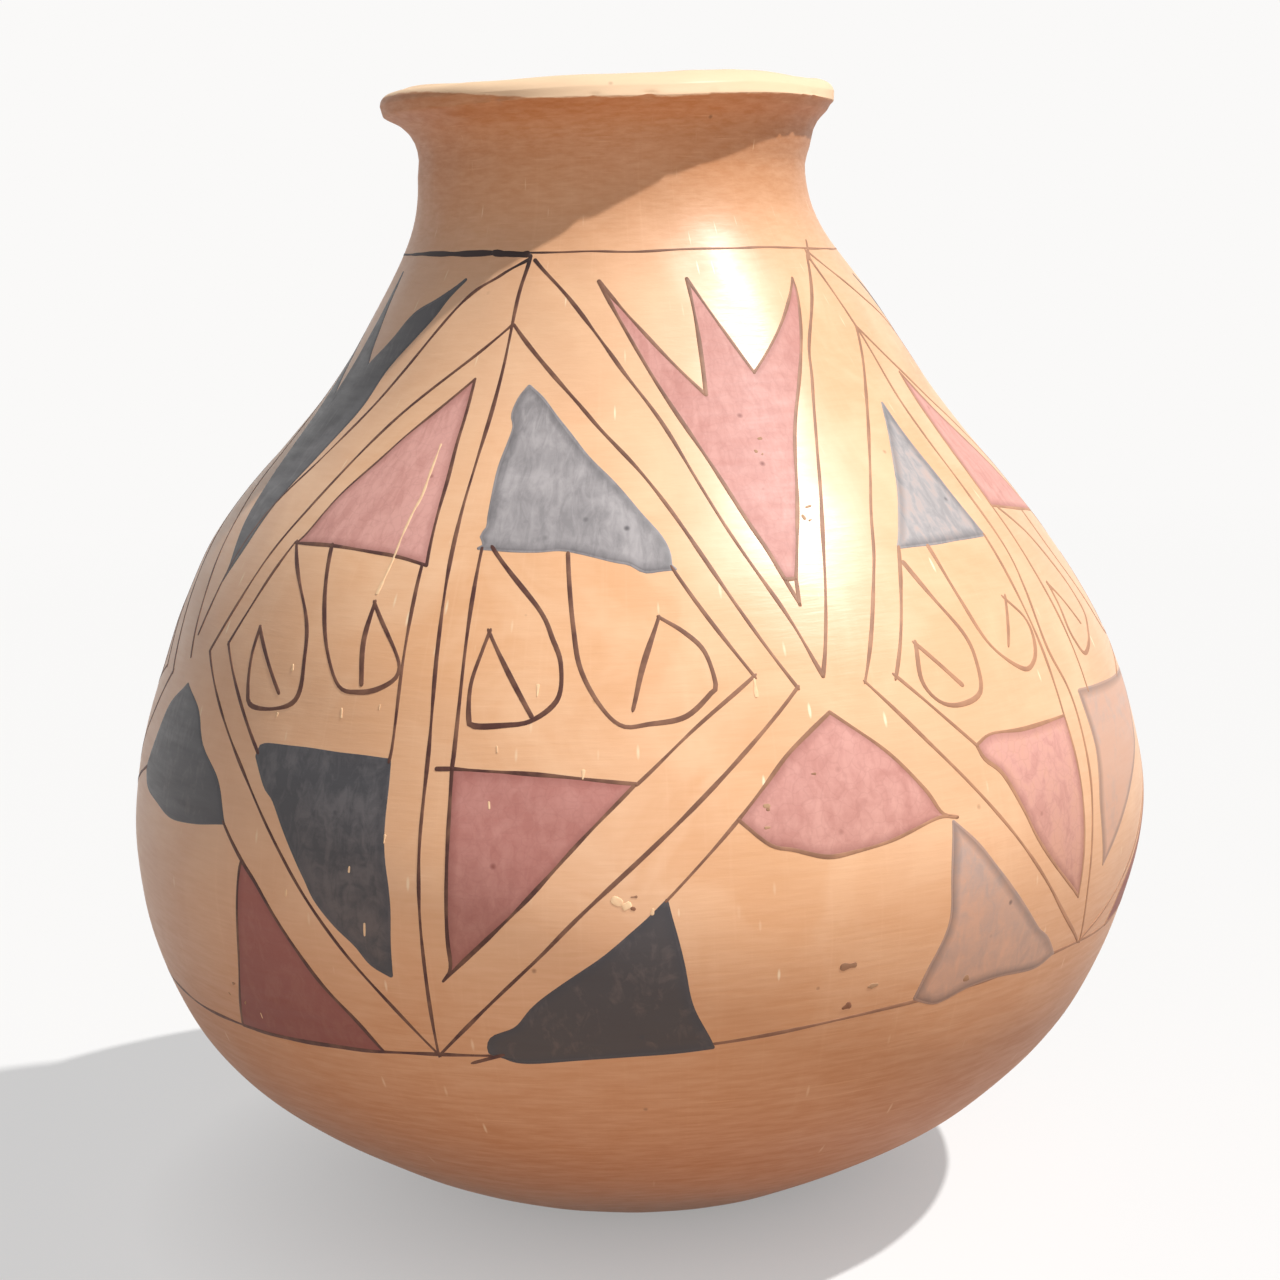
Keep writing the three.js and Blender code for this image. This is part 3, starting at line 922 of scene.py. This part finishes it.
class VASE_OT_wall(bpy.types.Operator):
    """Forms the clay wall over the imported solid: every row of the section carried round the axis"""
    bl_idname = "vase.wall"
    bl_label = "Clay wall"

    def execute(self, context):
        columns = context.scene.vase_body.columns
        rows = wall_rows(SECTION)
        radius, height, skin = rows[1:-1].T
        along = rows[2:, :2] - rows[:-2, :2]
        along /= np.hypot(*along.T)[:, None]
        angle = np.arange(columns) * 360 / columns
        # Small nicks where the rim was trimmed with a blade and knocked since
        edge = np.exp(-((height - ARRIS_HEIGHT) / 0.7) ** 2) * (skin > 0.4)
        nick = np.maximum(0, unevenness(angle, 0, 21, 60, 20, 18) - 0.9) * 0.45
        grid = formed(radius[:, None], height[:, None], along[:, 1:], -along[:, :1], skin[:, None],
                      angle, -edge[:, None] * nick)
        index = np.arange(len(radius) * columns).reshape(-1, columns)
        index = np.hstack([index, index[:, :1]])
        # Two fans close the base and the hollow's floor, each round a point in the middle
        ends = np.array([grid[0].mean(0), grid[-1].mean(0)])
        ends[:, 2] = rows[[0, -1], 1] * MM
        middle = len(radius) * columns
        base = [(b, a, middle) for a, b in zip(index[0].tolist(), index[0, 1:].tolist())]
        floor = [(a, b, middle + 1) for a, b in zip(index[-1].tolist(), index[-1, 1:].tolist())]
        faces = grid_quads(index).tolist() + base + floor
        # The skin was rubbed up to the arris, and towards the left of the front over the lip's face too.
        # The value falls from 1 to 0 over 2 mm there, and fades again at the foot
        rubbed_to = ARRIS_HEIGHT - 0.1 + 3.8 * ramp(-np.sin(np.radians(angle + 8)), 0, 0.8)
        burnish = np.clip(0.5 + (rubbed_to - height[:, None]) / 2, 0, 1) * ramp(height, 0, 6)[:, None]
        burnish = np.r_[(burnish * (skin[:, None] > 0.5)).ravel(), 0.0, 0.0]
        piece = make_piece("vase_wall", np.vstack([grid.reshape(-1, 3), ends]), faces, {"burnish": burnish},
                           burnished_earthenware())
        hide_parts("vase_body")
        return {"FINISHED"}


def add_fields(context, slip, name, material):
    """Every field of one slip, from all eight bays, as one piece. Black fields are edged in the same
    slip; red ones get their edge with the drawn lines."""
    paint = context.scene.vase_paint
    coat = paint.coat / MM
    parts = []
    for bay, drawing in enumerate(BAYS):
        for field in drawing["fields"]:
            if field[0] == slip:
                parts.append(field_patch(field, bay, coat))
                if slip == "black":
                    parts += field_outline(field, bay, 1.1 * paint.line_width / MM, coat + BLACK_EDGE)
    make_painted(name, parts, ("from_edge", "thin"), material)


class VASE_OT_red_slip(bpy.types.Operator):
    """Paints the fields of red slip on the wall"""
    bl_idname = "vase.red_slip"
    bl_label = "Red slip"

    def execute(self, context):
        paint = context.scene.vase_colours
        material = burnished_slip("burnished_red_slip", paint.red, paint.red_pale, paint.red_dark,
                                  linear("#7C453C"), 0.6, True)
        add_fields(context, "red", "red_slip_fields", material)
        return {"FINISHED"}


class VASE_OT_black_slip(bpy.types.Operator):
    """Paints the fields of black slip on the wall"""
    bl_idname = "vase.black_slip"
    bl_label = "Black slip"

    def execute(self, context):
        paint = context.scene.vase_colours
        material = burnished_slip("burnished_black_slip", paint.black, paint.black_pale, paint.black_dark,
                                  linear("#453730"), 0.45, False)
        add_fields(context, "black", "black_slip_fields", material)
        return {"FINISHED"}


class VASE_OT_slip_lines(bpy.types.Operator):
    """Draws the outlines, the borders, the looped hooks and the two lines that go round the pot"""
    bl_idname = "vase.slip_lines"
    bl_label = "Slip lines"

    def execute(self, context):
        paint = context.scene.vase_paint
        coat, thin, hook = paint.coat / MM, paint.line_width / MM, paint.hook_width / MM
        turn = np.linspace(-180, 180, 721)
        # The neck line was gone over twice at the left of the front
        heavy = thin * (0.65 + 1.2 * ramp(turn, -75, -45) * ramp(-turn, 24, 34))
        # The belly line was drawn first, and the fields that reach it were painted over it
        parts = [ribbon(painted(np.column_stack([turn, lower_line(turn)])), thin, coat + BELLY_LINE, 31),
                 ribbon(painted(np.column_stack([turn, neck_line(turn)])), heavy, coat + LINES, 32)]
        for bay, drawing in enumerate(BAYS):
            for field in drawing["fields"]:
                if field[0] == "red":
                    parts += field_outline(field, bay, thin, coat + LINES)
            for kind, width in (("lines", thin), ("hooks", hook), ("thick", 1.9 * thin)):
                for points in drawing.get(kind, ()):
                    for run in strokes_of(points):
                        parts.append(ribbon(painted(placed(run, bay)), width, coat + LINES, 33, 0.3))
        make_painted("slip_lines", parts, (), line_slip())
        return {"FINISHED"}


class VASE_OT_wear(bpy.types.Operator):
    """Adds the scrape, the knocks and the spots of dirt that break the slip, and two dark marks of painted
    shadow beside a pale chip
    """
    bl_idname = "vase.wear"
    bl_label = "Wear"

    def execute(self, context):
        lift = context.scene.vase_paint.coat / MM + WEAR
        marks = [(np.array(SCRAPE), 0.55, 0)]
        for angle, height, wide, tall, dirt_and_shadow in KNOCKS:
            # A knock is a short stroke through its place, along its longer way and a little askew
            width = min(wide, tall)
            askew = 0.3 * width * math.sin(5 * height)
            reach = (askew, tall - 0.8 * width) if tall > wide else (wide - 0.8 * width, askew)
            stroke = np.linspace(-0.5, 0.5, 9)[:, None] * np.array(reach) / wall_scale(height)
            marks.append((np.array([angle, height]) + stroke, width, dirt_and_shadow))
        parts = [ribbon(flowing(path), width, lift, 51, ragged=0.3, waves=(300, 2.6), facts=(dirt_and_shadow, 0))
                 for path, width, dirt_and_shadow in marks]
        make_painted("wear_marks_and_shadows", parts, ("dirt_and_shadow",), chip_and_shadow_clay())
        return {"FINISHED"}


class VASE_OT_stage(bpy.types.Operator):
    """Sets out the pale floor, the lamps, the light from all round, and the camera"""
    bl_idname = "vase.stage"
    bl_label = "Stage"

    def execute(self, context):
        settings = context.scene.vase_stage
        scene = context.scene
        scene.view_settings.view_transform = "Standard"

        # The floor is a disc of 6 m: rings whose radius doubles from one to the next
        ring = 3.0 / 2 ** np.arange(8)[::-1]
        turn = np.radians(np.arange(96) * 360 / 96)
        points = np.multiply.outer(ring, np.column_stack([np.cos(turn), np.sin(turn), 0 * turn]))
        index = np.arange(8 * 96).reshape(8, 96)
        quads = grid_quads(np.hstack([index, index[:, :1]]).T).tolist()
        new_object("floor", points, quads + [index[0].tolist()], matt_floor(settings.floor))

        scene.world = bpy.data.worlds.new("studio")
        tree = empty_tree(scene.world)
        shown = shown_directly(tree)
        strength = add(tree, "Mix", {0: shown, 2: settings.fill, 3: 1.0})
        tint = add(tree, "Mix", {0: shown, 6: linear("#CFDCEF"), 7: linear("#FAF9F8")}, data_type="RGBA")
        sky = add(tree, "Background", {"Color": tint, "Strength": strength})
        add(tree, "OutputWorld", {"Surface": sky})

        # The main lamp stands high on the right. A soft one, low and near in front, stands in for sunlit
        # ground: it lights the belly, less of the neck, and hardly the shoulder, which faces away from it
        sun = bpy.data.lights.new("main_lamp", "SUN")
        sun.angle = math.radians(1.5)
        a, e = settings.azimuth, settings.elevation
        sunward = Vector((math.sin(a) * math.cos(e), -math.cos(a) * math.cos(e), math.sin(e)))
        ground = bpy.data.lights.new("low_lamp", "AREA")
        ground.shape, ground.size = "DISK", 0.3
        low_place, aim = Vector((-0.02, -0.48, 0.12)), Vector((0, 0, 0.11))
        for light, energy, tint, place, towards in (
                (sun, settings.lamp, (1.0, 0.985, 0.96), 1.6 * sunward, sunward),
                (ground, settings.low, (0.88, 0.93, 1.0), low_place, low_place - aim)):
            light.energy, light.color = energy, tint
            lamp = bpy.data.objects.new(light.name, light)
            lamp.location = place
            lamp.rotation_mode = "QUATERNION"
            lamp.rotation_quaternion = towards.to_track_quat("Z", "Y")
            lamp.visible_glossy = light is sun
            scene.collection.objects.link(lamp)

        # The photograph's viewing angle: 552 mm in front, 214 mm up, looking down 9 degrees and held
        # with a slight roll. Its focal length is 2437.1 where the picture is 1280 wide
        turns = ((-0.191, "Z"), (90 - 9.032, "X"), (-1.833, "Z"))
        yaw, pitch, roll = (Matrix.Rotation(math.radians(turn), 4, axis) for turn, axis in turns)
        camera = bpy.data.cameras.new("camera")
        camera.angle = 2 * math.atan(0.5 * 1280 / 2437.1)
        camera.clip_start, camera.clip_end = 0.02, 20
        view = bpy.data.objects.new("camera", camera)
        view.matrix_world = Matrix.Translation((0, -0.5518, 0.2138)) @ yaw @ pitch @ roll
        scene.collection.objects.link(view)
        scene.camera = view
        return {"FINISHED"}


class VIEW3D_PT_vase(bpy.types.Panel):
    """Lists the vase's sizes, colours and pieces"""
    bl_label = "Painted vase"
    bl_idname = "VIEW3D_PT_vase"
    bl_space_type = "VIEW_3D"
    bl_region_type = "UI"
    bl_category = "Vase"

    def draw(self, context):
        for group in SETTINGS:
            settings = getattr(context.scene, group)
            box = self.layout.box()
            for key in settings.__annotations__:
                box.prop(settings, key)
        for operator in OPERATORS:
            self.layout.operator(operator.bl_idname)


OPERATORS = (VASE_OT_wall, VASE_OT_red_slip, VASE_OT_black_slip, VASE_OT_slip_lines, VASE_OT_wear,
             VASE_OT_stage)
SETTINGS = {"vase_body": VaseBodySettings, "vase_paint": VasePaintSettings,
            "vase_colours": VaseColourSettings, "vase_stage": VaseStageSettings}


def register():
    for item in (*SETTINGS.values(), *OPERATORS, VIEW3D_PT_vase):
        bpy.utils.register_class(item)
    for name, group in SETTINGS.items():
        setattr(bpy.types.Scene, name, bpy.props.PointerProperty(type=group))


def unregister():
    for name in SETTINGS:
        delattr(bpy.types.Scene, name)
    for item in (VIEW3D_PT_vase, *reversed(OPERATORS), *reversed(SETTINGS.values())):
        bpy.utils.unregister_class(item)


def main():
    register()
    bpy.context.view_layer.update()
    bpy.ops.vase.wall()
    bpy.ops.vase.red_slip()
    bpy.ops.vase.black_slip()
    bpy.ops.vase.slip_lines()
    bpy.ops.vase.wear()
    bpy.ops.vase.stage()
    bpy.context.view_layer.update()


if __name__ == "__main__":
    main()
